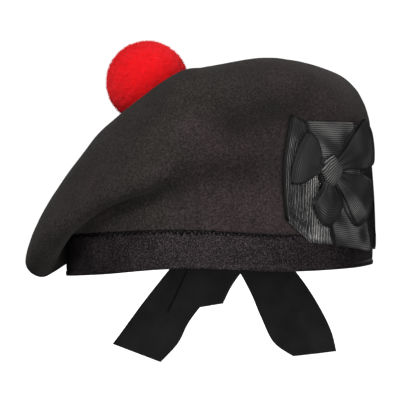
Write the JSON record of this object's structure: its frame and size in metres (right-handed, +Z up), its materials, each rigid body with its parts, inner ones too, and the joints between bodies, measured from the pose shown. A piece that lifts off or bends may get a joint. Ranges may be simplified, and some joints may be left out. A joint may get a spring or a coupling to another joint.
{
  "type": "balmoral bonnet",
  "caption": "Soft slouched felt bonnet on a ribbed headband, with a wool pompom on top, a ribbon cockade and bow at one side and short ribbon tails at the back.",
  "frame": {"origin": "middle of the band's opening, about level with its lower edge, where the head goes in", "axes": "+Z up through the crown, -Y the way the wearer faces, +X to the wearer's left, where the cockade is"},
  "size_m": [0.2137, 0.226, 0.2042],
  "materials": {
    "crown_felt": "matt felted wool, black with a brown cast",
    "band_ribbon": "ribbed ribbon with a slight sheen",
    "toorie_wool": "clipped red wool",
    "cockade_ribbon": "ribbed ribbon with a satin sheen",
    "tail_ribbon": "matt plain ribbon"
  },
  "bodies": {
    "root": {"crown": "crown_felt", "band": "band_ribbon", "toorie": "toorie_wool", "cockade_side_loop": "cockade_ribbon", "cockade_upright_loop": "cockade_ribbon", "bow_upper_front": "cockade_ribbon", "bow_upper_rear": "cockade_ribbon", "bow_lower_front": "cockade_ribbon", "bow_lower_rear": "cockade_ribbon", "bow_knot": "cockade_ribbon", "tail_left": "tail_ribbon", "tail_right": "tail_ribbon", "tie_loop": "tail_ribbon"}
  },
  "joints": []
}
